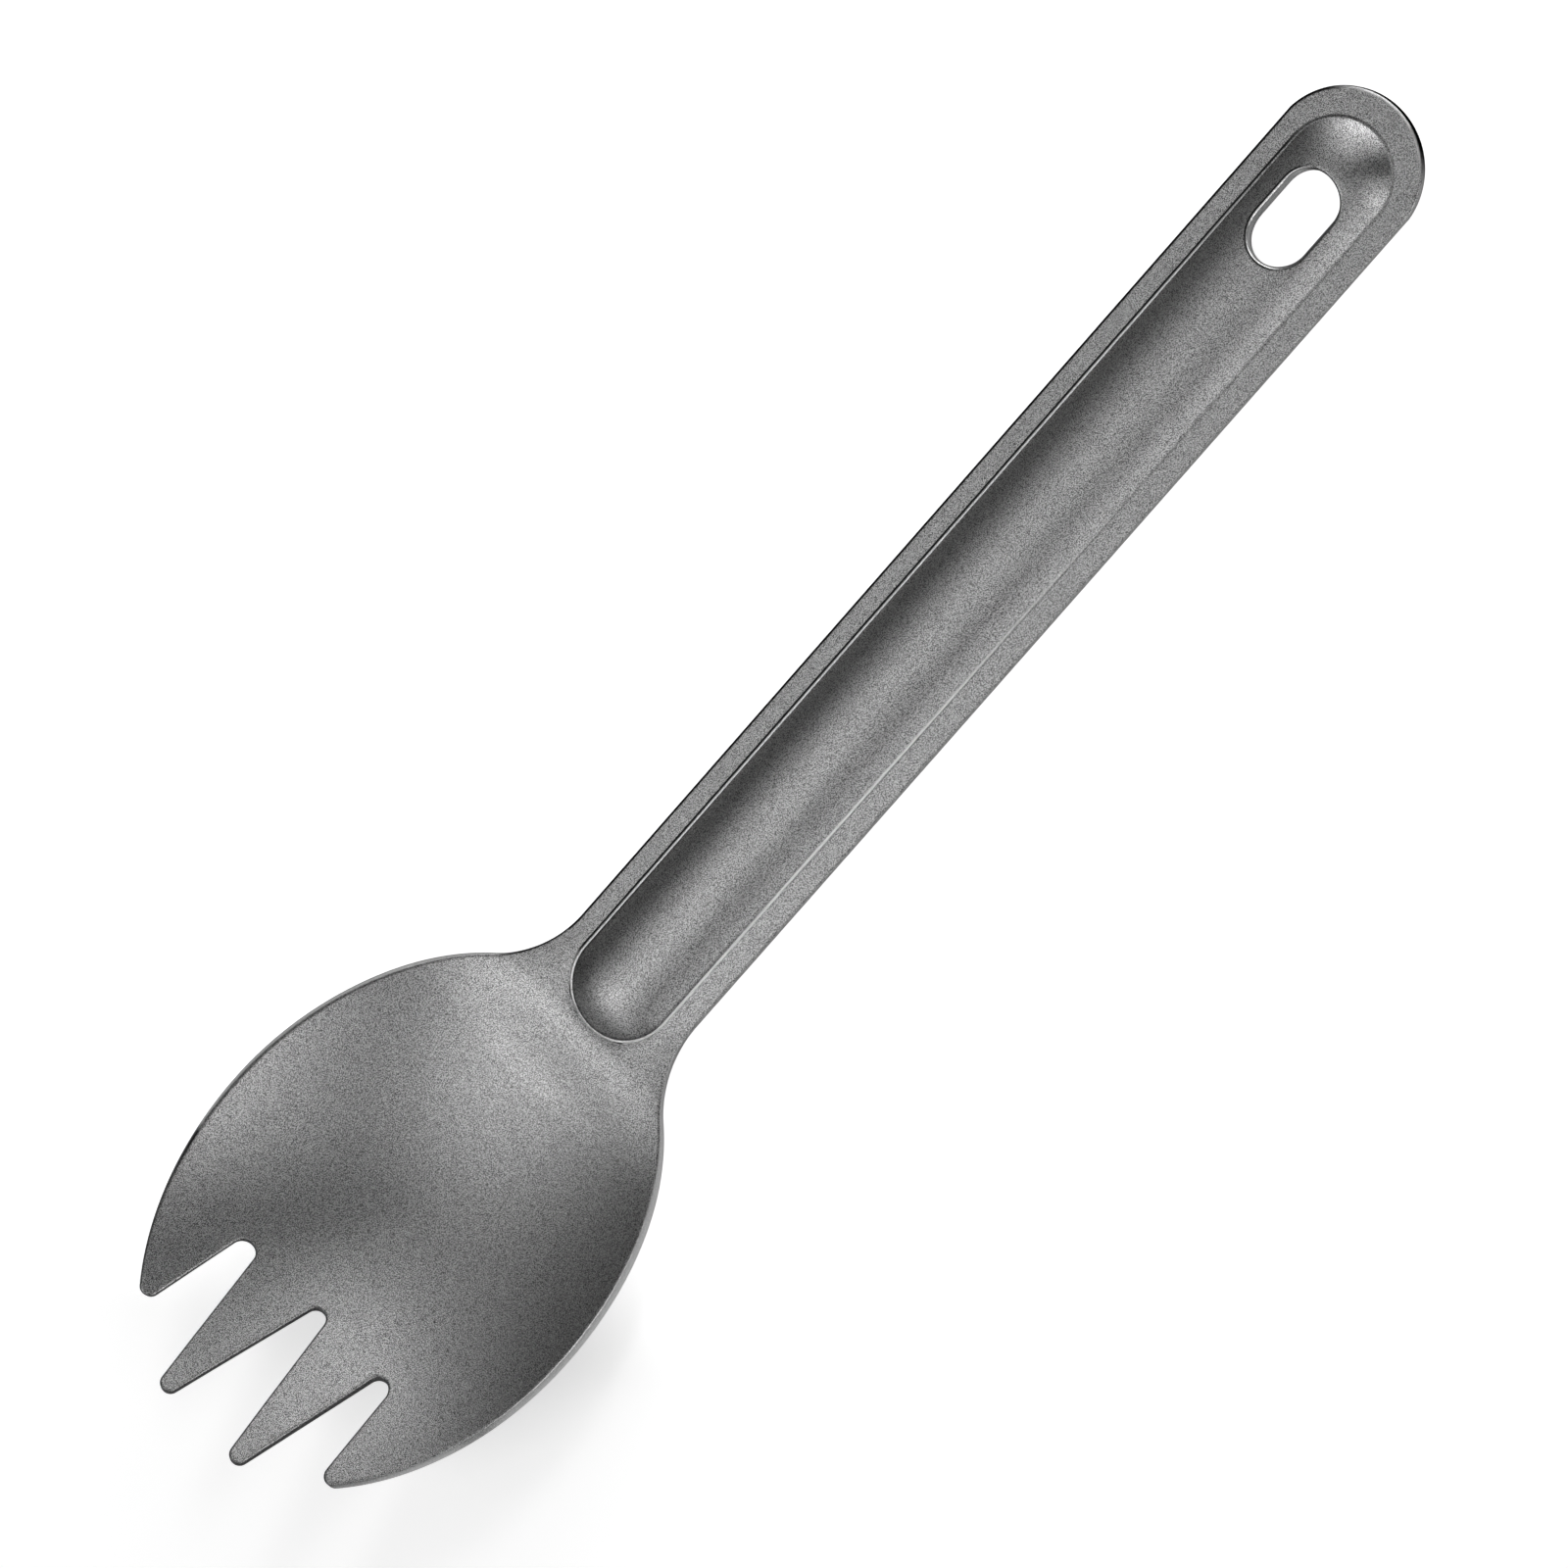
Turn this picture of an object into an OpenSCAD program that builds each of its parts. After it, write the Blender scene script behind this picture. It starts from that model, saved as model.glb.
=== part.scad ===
// Camping spork, pressed from one sheet of metal.
// It lies as it rests: the bowl's underside and the end of the handle on z = 0,
// the tines towards -X, the handle towards +X, the hollow of the bowl upwards.
// The origin is under the middle of the overall length.

/* [Sheet] */
// Overall length, tine tips to handle end
overall_l = 165; // [150:1:200]
// Thickness of the sheet
sheet_t = 1.1; // [0.8:0.1:1.6]

/* [Handle] */
// Width of the handle across its flat edges
handle_w = 15.1; // [14:0.1:18]
// Height of the handle's underside at the neck
neck_rise = 1.3; // [0.8:0.05:4]
// Radius of the inside curve between handle and bowl
neck_r = 11.5; // [6:0.5:14]

/* [Ridge] */
// Width of the raised ridge along the handle
ridge_w = 10.7; // [9:0.1:12]
// Height of the ridge above the flat edges
ridge_h = 2; // [1.4:0.1:3.2]
// Flat left between the ridge and the end of the handle
ridge_gap = 3; // [2:0.1:6]
// How far the ridge runs on into the bowl's oval
ridge_lap = 3.1; // [0:0.1:6]

/* [Hanging slot] */
// Length of the slot
slot_l = 10; // [8:0.5:16]
// Width of the slot
slot_w = 6.1; // [4.5:0.1:7]
// From the middle of the slot to the end of the handle
slot_in = 13.6; // [12:0.1:20]

/* [Bowl] */
// Length of the oval that outlines the bowl
bowl_l = 55; // [51:0.5:60]
// Width of the bowl, along the middle of the sheet
bowl_w = 41.4; // [36:0.1:46]
// From the tine tips back to the widest line of the bowl
bowl_mid = 26.3; // [25.5:0.1:29]
// From the tine tips back to the lowest point of the bowl
bowl_low = 42; // [38:0.1:44]
// Height of the rim at the widest line
rim_h = 8.2; // [7:0.1:10]
// Slope of the rim at the widest line, in degrees
rim_angle = 11.5; // [9:0.5:15]
// Slope of the rim at the tine tips, in degrees
rim_front_angle = 15; // [12:0.5:18]

/* [Tines] */
// Length of the middle tines, seen from above
tine_l = 14.2; // [11:0.1:16]
// Slope of the tines, in degrees
tine_angle = 28; // [24:0.5:31]
// Height of the sheet where the tines start
root_h = 6.6; // [5.5:0.1:7.5]
// Radius of the round tine tips
tip_r = 0.95; // [0.6:0.05:1.2]
// Distance between the tips of the two middle tines
inner_tip_pitch = 9.5; // [8:0.1:11]
// Length of the outer tines, seen from above
outer_tine_l = 8.9; // [7:0.1:11]
// Radius of the round end of the middle gap
mid_root_r = 1; // [0.6:0.05:1.3]
// Radius of the round ends of the two side gaps
side_root_r = 1.15; // [0.6:0.05:1.4]
// Distance between the round ends of the two side gaps
side_root_pitch = 18.5; // [16:0.1:20]

/* [Hidden] */

// Smoothness of true circles
round_fn = 96;
// How far a cut runs past what it cuts
overrun = 2;
// How much larger the radius of the handle's end is than half the handle's width
end_ease = 0.05;
// Step over which a slope of the pressed surface is measured
probe = 0.01;
// Halvings that find where the neck's curve touches the oval
touch_halvings = 40;
// Facets of the pressed sheet: across it, along the bowl, along the neck curve, past the tips
cells_across = 20;
cells_bowl = 32;
cells_neck = 5;
cells_tips = 3;

// Places along the length
tail_x = overall_l / 2;
tip_x = -overall_l / 2;
root_x = tip_x + tine_l;
wide_x = tip_x + bowl_mid;
low_x = tip_x + bowl_low;
front_x = tip_x - overrun;

// Half sizes
half_t = sheet_t / 2;
oval_a = bowl_l / 2;
oval_b = bowl_w / 2;
handle_b = handle_w / 2;

// The oval of the bowl, by its angle from the handle's side
function oval(u) = [wide_x + oval_a * cos(u), oval_b * sin(u)];
function unit(v) = v / norm(v);
function oval_normal(u) = unit([cos(u) / oval_a, sin(u) / oval_b]);

// The angle at which the neck's curve touches the oval, found by halving
function neck_touch(low, high, halvings) =
    let (mid = (low + high) / 2, y = oval(mid)[1] + neck_r * oval_normal(mid)[1])
    halvings == 0 ? mid
    : y > handle_b + neck_r ? neck_touch(low, mid, halvings - 1)
    : neck_touch(mid, high, halvings - 1);
neck_u = neck_touch(0, 90, touch_halvings);
neck_c = oval(neck_u) + neck_r * oval_normal(neck_u);
neck_x = neck_c[0];
// The turn of the neck's curve, from the handle's edge to the oval
neck_turn = asin(oval_normal(neck_u)[0]);

// Slope of the handle, which ends on z = 0
handle_angle = atan(neck_rise / (tail_x - neck_x));
ridge_end_x = wide_x + oval_a - ridge_lap;

// Smooth rise between two places with a given slope at each
function rise(x, x0, z0, m0, x1, z1, m1) =
    let (d = x1 - x0, k = (x - x0) / d)
    z0 * (1 + 2 * k) * (1 - k) * (1 - k) + m0 * d * k * (1 - k) * (1 - k)
    + z1 * k * k * (3 - 2 * k) + m1 * d * k * k * (k - 1);

// Heights of the middle of the sheet
flat_slope = -tan(handle_angle);
tine_slope = -tan(tine_angle);
function flat_z(x) = half_t / cos(handle_angle) + flat_slope * (x - tail_x);
function tine_z(x) = root_h + tine_slope * (x - root_x);
function centre_z(x) =
    x > ridge_end_x ? flat_z(x)
    : x > low_x ? rise(x, ridge_end_x, flat_z(ridge_end_x), flat_slope, low_x, half_t, 0)
    : x > root_x ? rise(x, low_x, half_t, 0, root_x, root_h, tine_slope)
    : tine_z(x);
function rim_z(x) =
    x > neck_x ? flat_z(x)
    : x > wide_x ? rise(x, neck_x, flat_z(neck_x), flat_slope, wide_x, rim_h, -tan(rim_angle))
    : x > tip_x ? rise(x, wide_x, rim_h, -tan(rim_angle), tip_x, tine_z(tip_x), -tan(rim_front_angle))
    : tine_z(x);

// Half width of the sheet: the oval, the neck's curve, the handle
function neck_b(x) = neck_c[1] - sqrt(max(0, pow(neck_r, 2) - pow(x - neck_x, 2)));
function oval_half(x) = oval_b * sqrt(max(0, 1 - pow((x - wide_x) / oval_a, 2)));
function half_b(x) =
    x > neck_x ? handle_b
    : x > oval(neck_u)[0] ? neck_b(x)
    : oval_half(max(x, outer_x));

// The sheet's middle, by its place along and its share of the half width, from -1 to 1
function height(x, k) = centre_z(x) + (rim_z(x) - centre_z(x)) * k * k;
function middle(x, k) = [x, half_b(x) * k, height(x, k)];
function height_at(x, y) = height(x, y / half_b(x));
function normal(x, y) =
    let (
        zx = (height_at(x + probe, y) - height_at(x - probe, y)) / (2 * probe),
        zy = (height_at(x, y + probe) - height_at(x, y - probe)) / (2 * probe)
    )
    unit([-zx, -zy, 1]);

// Tine tips and gap ends lie in the tines' own plane: s runs out from the roots, y across
function plane_s(x) = (root_x - x) / cos(tine_angle);
tip_s = plane_s(tip_x + half_t * sin(tine_angle)) - tip_r;
inner_tip = [tip_s, inner_tip_pitch / 2];
mid_root = [mid_root_r, 0];
side_root = [side_root_r, side_root_pitch / 2];

// The outer tine's round tip touches the oval where that tine's length ends
outer_x = root_x - outer_tine_l;
outer_u = acos((outer_x - wide_x) / oval_a);
outer_touch = [plane_s(outer_x), oval(outer_u)[1]];
outer_n = unit([-cos(outer_u) * cos(tine_angle) / oval_a, sin(outer_u) / oval_b]);
outer_tip = outer_touch - tip_r * outer_n;

// Direction square to the edge that runs from a gap's round end to a tine's round tip,
// turned from the gap into the tine
function edge_normal(root, root_r, tip, side) =
    let (d = tip - root, a = acos((root_r + tip_r) / norm(d)), e = unit(d))
    [e[0] * cos(a) - side * e[1] * sin(a), side * e[0] * sin(a) + e[1] * cos(a)];
mid_n = edge_normal(mid_root, mid_root_r, inner_tip, 1);
side_in_n = edge_normal(side_root, side_root_r, inner_tip, -1);
side_out_n = edge_normal(side_root, side_root_r, outer_tip, 1);

function flip(p) = [p[0], -p[1]];

// Stations of the sheet from the handle's end to past the tips
stations = concat(
    [tail_x + overrun],
    [for (i = [0:cells_neck - 1]) neck_x - neck_r * sin(i / cells_neck * neck_turn)],
    [for (i = [0:cells_bowl]) oval(neck_u + (outer_u - neck_u) * i / cells_bowl)[0]],
    [for (i = [1:cells_tips]) outer_x + (front_x - outer_x) * i / cells_tips]
);

// Closed skin of the sheet: an upper and a lower grid joined round the edge
module pressed_sheet() {
    across = cells_across + 1;
    last = len(stations) - 1;
    middles = [for (x = stations) for (j = [0:cells_across]) middle(x, 2 * j / cells_across - 1)];
    normals = [for (p = middles) normal(p[0], p[1])];
    upper = [for (i = [0:len(middles) - 1]) middles[i] + half_t * normals[i]];
    lower = [for (i = [0:len(middles) - 1]) middles[i] - half_t * normals[i]];
    below = len(middles);
    function at(i, j) = i * across + j;
    tops = [for (i = [0:last - 1]) for (j = [0:cells_across - 1])
        each [[at(i, j), at(i, j + 1), at(i + 1, j)], [at(i, j + 1), at(i + 1, j + 1), at(i + 1, j)]]];
    bottoms = [for (f = tops) [f[2] + below, f[1] + below, f[0] + below]];
    rims = [for (i = [0:last - 1]) for (j = [0, cells_across])
        let (a = at(i, j), b = at(i + 1, j), f = [[a, b, a + below], [b, b + below, a + below]])
        each j == 0 ? f : [for (g = f) [g[2], g[1], g[0]]]];
    ends = [for (j = [0:cells_across - 1]) for (i = [0, last])
        let (a = at(i, j), b = at(i, j + 1), f = [[b, a, a + below], [b, a + below, b + below]])
        each i == 0 ? f : [for (g = f) [g[2], g[1], g[0]]]];
    faces = concat(tops, bottoms, rims, ends);
    polyhedron(concat(upper, lower), [for (f = faces) [f[2], f[1], f[0]]]);
}

// The handle's own frame: its end at x = 0, its underside at z = 0
module on_handle() {
    translate([tail_x, 0, 0]) rotate([0, handle_angle, 0]) children();
}

// Round bar with ball ends whose top makes the ridge
ridge_r = (pow(ridge_w / 2, 2) + pow(ridge_h, 2)) / (2 * ridge_h);
ridge_drop = ridge_r - ridge_h;
ridge_tail = -ridge_gap - ridge_w / 2;
ridge_neck = (ridge_end_x - tail_x) / cos(handle_angle) + ridge_w / 2;
module ridge_bar(r) {
    bar_l = ridge_tail - ridge_neck;
    translate([ridge_neck, 0, sheet_t - ridge_drop]) rotate([0, 90, 0])
        rotate_extrude($fn = round_fn) intersection() {
            union() {
                circle(r, $fn = round_fn);
                translate([0, bar_l]) circle(r, $fn = round_fn);
                translate([-r, 0]) square([2 * r, bar_l]);
            }
            translate([0, -r]) square([r, bar_l + 2 * r]);
        }
}
module ridge_outside() {
    on_handle() intersection() {
        ridge_bar(ridge_r);
        translate([ridge_neck - ridge_w, -ridge_w, half_t])
            cube([ridge_tail - ridge_neck + 2 * ridge_w, 2 * ridge_w, ridge_h + sheet_t]);
    }
}
module ridge_inside() {
    on_handle() intersection() {
        ridge_bar(ridge_r - sheet_t);
        translate([ridge_neck - ridge_w, -ridge_w, -overrun])
            cube([ridge_tail - ridge_neck + 2 * ridge_w, 2 * ridge_w, overrun + ridge_h + sheet_t]);
    }
}

// Cuts at the handle's end: the half-round end and the hanging slot
end_r = handle_b + end_ease;
module tail_cut() {
    tall = ridge_h + sheet_t + 2 * overrun;
    on_handle() translate([-end_r, 0, -overrun]) difference() {
        translate([0, -handle_w, 0]) cube([handle_w, 2 * handle_w, tall]);
        translate([0, 0, -overrun]) cylinder(h = tall + 2 * overrun, r = end_r, $fn = round_fn);
    }
}
module hanging_slot() {
    tall = ridge_h + sheet_t + 2 * overrun;
    run = slot_l - slot_w;
    on_handle() translate([-slot_in, 0, -overrun]) {
        for (side = [-1, 1])
            translate([side * run / 2, 0, 0]) cylinder(h = tall, d = slot_w, $fn = round_fn);
        translate([-run / 2, -slot_w / 2, 0]) cube([run, slot_w, tall]);
    }
}

// Outline of what is cut away round the tines, in their own plane
module gap_2d(root, root_r, a, an, b, bn) {
    translate(root) circle(root_r, $fn = round_fn);
    polygon([root + root_r * an, a - tip_r * an, b - tip_r * bn, root + root_r * bn]);
}
module side_gap_2d() {
    gap_2d(side_root, side_root_r, outer_tip, side_out_n, inner_tip, side_in_n);
}
module front_2d() {
    far = bowl_w;
    half = [
        outer_touch + far * outer_n,
        outer_tip,
        outer_tip - tip_r * side_out_n,
        inner_tip - tip_r * side_in_n,
        inner_tip,
        inner_tip - tip_r * mid_n
    ];
    difference() {
        polygon(concat(
            half,
            [for (i = [len(half) - 1:-1:0]) flip(half[i])],
            [[outer_touch[0] + far, -far], [outer_touch[0] + far, far]]
        ));
        for (p = [outer_tip, inner_tip, flip(inner_tip), flip(outer_tip)])
            translate(p) circle(tip_r, $fn = round_fn);
    }
}
module tine_cut() {
    tall = bowl_w;
    translate([root_x, 0, root_h]) rotate([0, tine_angle, 0]) mirror([1, 0, 0])
        translate([0, 0, -tall / 2]) linear_extrude(tall) {
            gap_2d(mid_root, mid_root_r, inner_tip, mid_n, flip(inner_tip), flip(mid_n));
            side_gap_2d();
            mirror([0, 1]) side_gap_2d();
            front_2d();
        }
}

module spork_body() {
    color("#8e9093") difference() {
        union() {
            pressed_sheet();
            ridge_outside();
        }
        ridge_inside();
        hanging_slot();
        tail_cut();
        tine_cut();
    }
}

spork_body();
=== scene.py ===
import math
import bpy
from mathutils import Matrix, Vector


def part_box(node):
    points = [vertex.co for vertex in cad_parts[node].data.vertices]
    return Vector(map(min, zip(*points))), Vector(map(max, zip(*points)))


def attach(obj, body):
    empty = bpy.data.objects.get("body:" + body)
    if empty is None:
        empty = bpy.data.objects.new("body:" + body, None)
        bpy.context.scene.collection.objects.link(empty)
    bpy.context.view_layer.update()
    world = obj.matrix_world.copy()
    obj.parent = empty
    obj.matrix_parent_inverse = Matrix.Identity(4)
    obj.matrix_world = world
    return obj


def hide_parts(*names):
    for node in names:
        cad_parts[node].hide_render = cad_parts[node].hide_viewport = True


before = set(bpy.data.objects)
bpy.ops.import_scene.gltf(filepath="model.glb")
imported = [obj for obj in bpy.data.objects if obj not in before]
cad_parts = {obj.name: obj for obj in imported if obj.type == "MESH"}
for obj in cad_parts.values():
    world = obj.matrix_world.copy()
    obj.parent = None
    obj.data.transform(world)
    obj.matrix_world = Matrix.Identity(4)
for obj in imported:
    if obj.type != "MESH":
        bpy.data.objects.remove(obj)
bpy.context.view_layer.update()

from types import SimpleNamespace

import bpy
import numpy as np
from mathutils import Matrix, Vector
from mathutils.geometry import delaunay_2d_cdt
from mathutils.kdtree import KDTree

# The spork's own sizes, in millimetres, as in the solid model
MM = 0.001
SHEET_T = 1.1
HALF_T = SHEET_T / 2
HANDLE_W = 15.1
NECK_RISE = 1.3
NECK_R = 11.5
END_EASE = 0.05
RIDGE_W = 10.7
RIDGE_GAP = 3
RIDGE_LAP = 3.1
SLOT_L = 10
SLOT_W = 6.1
SLOT_IN = 13.6
BOWL_L = 55
BOWL_W = 41.4
BOWL_MID = 26.3
BOWL_LOW = 42
RIM_H = 8.2
RIM_ANGLE = math.radians(11.5)
RIM_FRONT_ANGLE = math.radians(15)
TINE_L = 14.2
TINE_ANGLE = math.radians(28)
ROOT_H = 6.6
TIP_R = 0.95
INNER_TIP_PITCH = 9.5
OUTER_TINE_L = 8.9
MID_ROOT_R = 1
SIDE_ROOT_R = 1.15
SIDE_ROOT_PITCH = 18.5

# The overall length comes from the frame's box
lowest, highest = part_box("spork_body")
OVERALL_L = round((highest.x - lowest.x) / MM)

# Radius of the small fillet round the ridge's foot, on the upper face
FOOT_FILLET = 0.1
# The fine raised line that the die leaves round the ridge, on the upper face: how far it lies
# from the ridge's middle, its width and its height
WITNESS_D = RIDGE_W / 2 - 0.06
WITNESS_W = 0.3
WITNESS_H = 0.1
# It runs out from this place along the length to so far before the ridge's ball end, and
# between these two places on the -Y side
WITNESS_LAST_X = 50
WITNESS_LAST_GAP = 2
WITNESS_RIGHT_X = (0, 45)
# The ridge's own width and height inside that line
RIDGE_FOOT_W = RIDGE_W - 0.3
RIDGE_BACK_H = 1.7
# Slight arch of the sheet across the handle, which springs back after pressing
NECK_CROWN = 0.4
TAIL_CROWN = 0.18
# The sheet sinks a little in front of the ridge's neck end, where the ridge draws it in
NECK_DIP = 0.2
NECK_DIP_REACH = 2.6
# Rounding of the blanked edge, after tumbling, and the even strip of faces that it is cut from
EDGE_ROUND = 0.24
EDGE_ROUND_SEGMENTS = 4
EDGE_STRIP = 0.36
# Where two faces turn by more than this, the edge between them is rounded
CORNER_ANGLE = math.radians(50)
# Spacing of the points that the sheet is laid out on: along edges, over the bowl, across the ridge
EDGE_STEP = 0.3
BOWL_STEP = 0.6
RIDGE_STEP = 0.45
# An arc has at least this many stretches, and each is at most its radius shared by as many
ARC_PIECES = 6
# Rows round the ridge's foot, how far inside its turn they start, and the degrees between the
# points of a row round the ridge's ends
FOOT_ROWS = 10
FOOT_LEAD = 0.12
CAP_TURN = 5
# Rows across the die's line, how far past the line they run, and the rows on the flat beside it
WITNESS_STEP = 0.04
WITNESS_REACH = 0.4
FLAT_ROWS = (0.6, 1.0, 1.45)
# Clear strips between an edge and the nearest loose point, and between ridge and bowl's grid
EDGE_CLEAR = 0.5
RIDGE_CLEAR = 0.75
# Points of the blank closer together than this become one
MERGE = 1e-6
# Halvings that find where the neck's curve touches the oval
TOUCH_HALVINGS = 50
# A normal that points up by at least this much belongs to the upper face
UPWARD = 0.5

# Places along the length
tail_x = OVERALL_L / 2
tip_x = -tail_x
root_x = tip_x + TINE_L
wide_x = tip_x + BOWL_MID
low_x = tip_x + BOWL_LOW
outer_x = root_x - OUTER_TINE_L
oval_a = BOWL_L / 2
oval_b = BOWL_W / 2
handle_b = HANDLE_W / 2
end_r = handle_b + END_EASE


def unit(v):
    return np.asarray(v, float) / np.linalg.norm(v)


def oval(u):
    return np.array([wide_x + oval_a * math.cos(u), oval_b * math.sin(u)])


def oval_normal(u):
    return unit([math.cos(u) / oval_a, math.sin(u) / oval_b])


def neck_touch():
    """The angle at which the neck's curve touches the oval, found by halving."""
    low, high = 0, math.pi / 2
    for _ in range(TOUCH_HALVINGS):
        mid = (low + high) / 2
        if oval(mid)[1] + NECK_R * oval_normal(mid)[1] > handle_b + NECK_R:
            high = mid
        else:
            low = mid
    return mid


neck_u = neck_touch()
neck_c = oval(neck_u) + NECK_R * oval_normal(neck_u)
neck_x = neck_c[0]
flat_slope = -NECK_RISE / (tail_x - neck_x)
handle_angle = -math.atan(flat_slope)
tine_slope = -math.tan(TINE_ANGLE)
ridge_end_x = wide_x + oval_a - RIDGE_LAP

# The ridge is the top of a round bar with ball ends, here along the middle of the sheet
ridge_r = ((RIDGE_FOOT_W / 2) ** 2 + RIDGE_BACK_H**2) / (2 * RIDGE_BACK_H)
bar_r = ridge_r - HALF_T
bar_low = bar_r - RIDGE_BACK_H
fillet_r = FOOT_FILLET + HALF_T
fillet_far = math.sqrt((bar_r + fillet_r) ** 2 - (fillet_r + bar_low) ** 2)
fillet_near = fillet_far * bar_r / (bar_r + fillet_r)
bar_tail_x = tail_x - RIDGE_GAP - RIDGE_W / 2
bar_neck_x = ridge_end_x + RIDGE_W / 2


def rise(x, x0, z0, m0, x1, z1, m1):
    """Smooth rise between two places with a given slope at each."""
    d = x1 - x0
    k = (x - x0) / d
    return (
        z0 * (1 + 2 * k) * (1 - k) ** 2
        + m0 * d * k * (1 - k) ** 2
        + z1 * k * k * (3 - 2 * k)
        + m1 * d * k * k * (k - 1)
    )


def flat_z(x):
    return HALF_T / math.cos(handle_angle) + flat_slope * (x - tail_x)


def tine_z(x):
    return ROOT_H + tine_slope * (x - root_x)


def centre_z(x):
    """Height of the sheet's middle along the centre line, without the ridge."""
    to_low = rise(x, ridge_end_x, flat_z(ridge_end_x), flat_slope, low_x, HALF_T, 0)
    to_root = rise(x, low_x, HALF_T, 0, root_x, ROOT_H, tine_slope)
    return np.where(
        x > ridge_end_x,
        flat_z(x),
        np.where(x > low_x, to_low, np.where(x > root_x, to_root, tine_z(x))),
    )


def rim_z(x):
    """Height of the sheet's middle along the rim."""
    wide_m = -math.tan(RIM_ANGLE)
    front_m = -math.tan(RIM_FRONT_ANGLE)
    back = rise(x, neck_x, flat_z(neck_x), flat_slope, wide_x, RIM_H, wide_m)
    front = rise(x, wide_x, RIM_H, wide_m, tip_x, tine_z(tip_x), front_m)
    return np.where(
        x > neck_x,
        flat_z(x),
        np.where(x > wide_x, back, np.where(x > tip_x, front, tine_z(x))),
    )


def half_b(x):
    """Half width of the sheet: the handle, the neck's curve, the oval."""
    neck_b = neck_c[1] - np.sqrt(np.maximum(0, NECK_R**2 - (x - neck_x) ** 2))
    reach = (np.maximum(x, outer_x) - wide_x) / oval_a
    oval_half = oval_b * np.sqrt(np.maximum(0, 1 - reach**2))
    return np.where(
        x > neck_x, handle_b, np.where(x > oval(neck_u)[0], neck_b, oval_half)
    )


def fade(value, start, end):
    """1 up to the start, falling smoothly to 0 at the end."""
    share = np.clip((end - value) / (end - start), 0, 1)
    return share * share * (3 - 2 * share)


def grow(value, start, end):
    """0 up to the start, growing smoothly to 1 at the end."""
    return fade(value, end, start)


def bar_distance(x, y):
    """Distance in plan from the line that runs down the middle of the ridge."""
    return np.hypot(x - np.clip(x, bar_neck_x, bar_tail_x), y)


def ridge_z(x, y):
    """Height that the ridge adds: the bar's round back, then the fillet at its foot."""
    d = bar_distance(x, y)
    back = np.sqrt(np.maximum(0, bar_r**2 - d**2)) - bar_low
    foot = fillet_r - np.sqrt(np.maximum(0, fillet_r**2 - (fillet_far - d) ** 2))
    return np.where(d < fillet_near, back, np.where(d < fillet_far, foot, 0))


def crown_z(x):
    """Rise of the handle's middle over its edges, gone where the bowl is lowest."""
    along = np.clip((tail_x - x) / (tail_x - neck_x), 0, 1)
    into_bowl = np.clip((x - low_x) / (neck_x - low_x), 0, 1)
    crown = TAIL_CROWN + (NECK_CROWN - TAIL_CROWN) * along
    return crown * into_bowl**2 * (3 - 2 * into_bowl)


def dip_z(x, y):
    """How far the sheet sinks in front of the ridge's neck end."""
    ahead = np.clip((bar_neck_x - x) / fillet_far, 0, 1)
    near = np.clip(1 - (bar_distance(x, y) - fillet_far) / NECK_DIP_REACH, 0, 1)
    return NECK_DIP * (ahead**2 * (3 - 2 * ahead)) ** 2 * near**2


def sheet_z(x, y):
    """Height of the sheet's middle, ridge and all."""
    share = y / half_b(x)
    centre = centre_z(x) + crown_z(x)
    side = (rim_z(x) - centre) * share**2
    return centre + side + ridge_z(x, y) - dip_z(x, y)


# Tine tips and gap ends lie in the tines' own plane: first out from the roots, then across
def plane_s(x):
    return (root_x - x) / math.cos(TINE_ANGLE)


def to_plan(points):
    """From the tines' plane to the plan."""
    p = np.asarray(points, float)
    return np.stack([root_x - p[:, 0] * math.cos(TINE_ANGLE), p[:, 1]], axis=1)


tip_s = plane_s(tip_x + HALF_T * math.sin(TINE_ANGLE)) - TIP_R
inner_tip = np.array([tip_s, INNER_TIP_PITCH / 2])
mid_root = np.array([MID_ROOT_R, 0])
side_root = np.array([SIDE_ROOT_R, SIDE_ROOT_PITCH / 2])
outer_u = math.acos((outer_x - wide_x) / oval_a)
outer_touch = np.array([plane_s(outer_x), oval(outer_u)[1]])
outer_n = unit(
    [
        -math.cos(outer_u) * math.cos(TINE_ANGLE) / oval_a,
        math.sin(outer_u) / oval_b,
    ]
)
outer_tip = outer_touch - TIP_R * outer_n


def edge_normal(root, root_r, tip, side):
    """Direction square to the edge from a gap's round end to a tine's round tip."""
    d = tip - root
    a = math.acos((root_r + TIP_R) / np.linalg.norm(d))
    e = unit(d)
    return np.array(
        [
            e[0] * math.cos(a) - side * e[1] * math.sin(a),
            side * e[0] * math.sin(a) + e[1] * math.cos(a),
        ]
    )


mid_n = edge_normal(mid_root, MID_ROOT_R, inner_tip, 1)
side_in_n = edge_normal(side_root, SIDE_ROOT_R, inner_tip, -1)
side_out_n = edge_normal(side_root, SIDE_ROOT_R, outer_tip, 1)


def angle(v):
    return math.atan2(v[1], v[0])


def arc(centre, r, start, end, step=EDGE_STEP):
    """Points round an arc, without the last one."""
    n = max(ARC_PIECES, math.ceil(abs(end - start) * r / min(step, r / ARC_PIECES)))
    t = start + (end - start) * np.arange(n) / n
    return np.stack([centre[0] + r * np.cos(t), centre[1] + r * np.sin(t)], axis=1)


def straight(a, b, step=EDGE_STEP):
    """Points along a straight edge, without the last one."""
    n = max(2, math.ceil(np.linalg.norm(np.subtract(b, a)) / step))
    t = (np.arange(n) / n)[:, None]
    return np.asarray(a) * (1 - t) + np.asarray(b) * t


def turned(start, end, way):
    """The end angle moved by whole turns until it lies on the given way from the start."""
    while (end - start) * way < 0:
        end += way * 2 * math.pi
    return end


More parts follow.
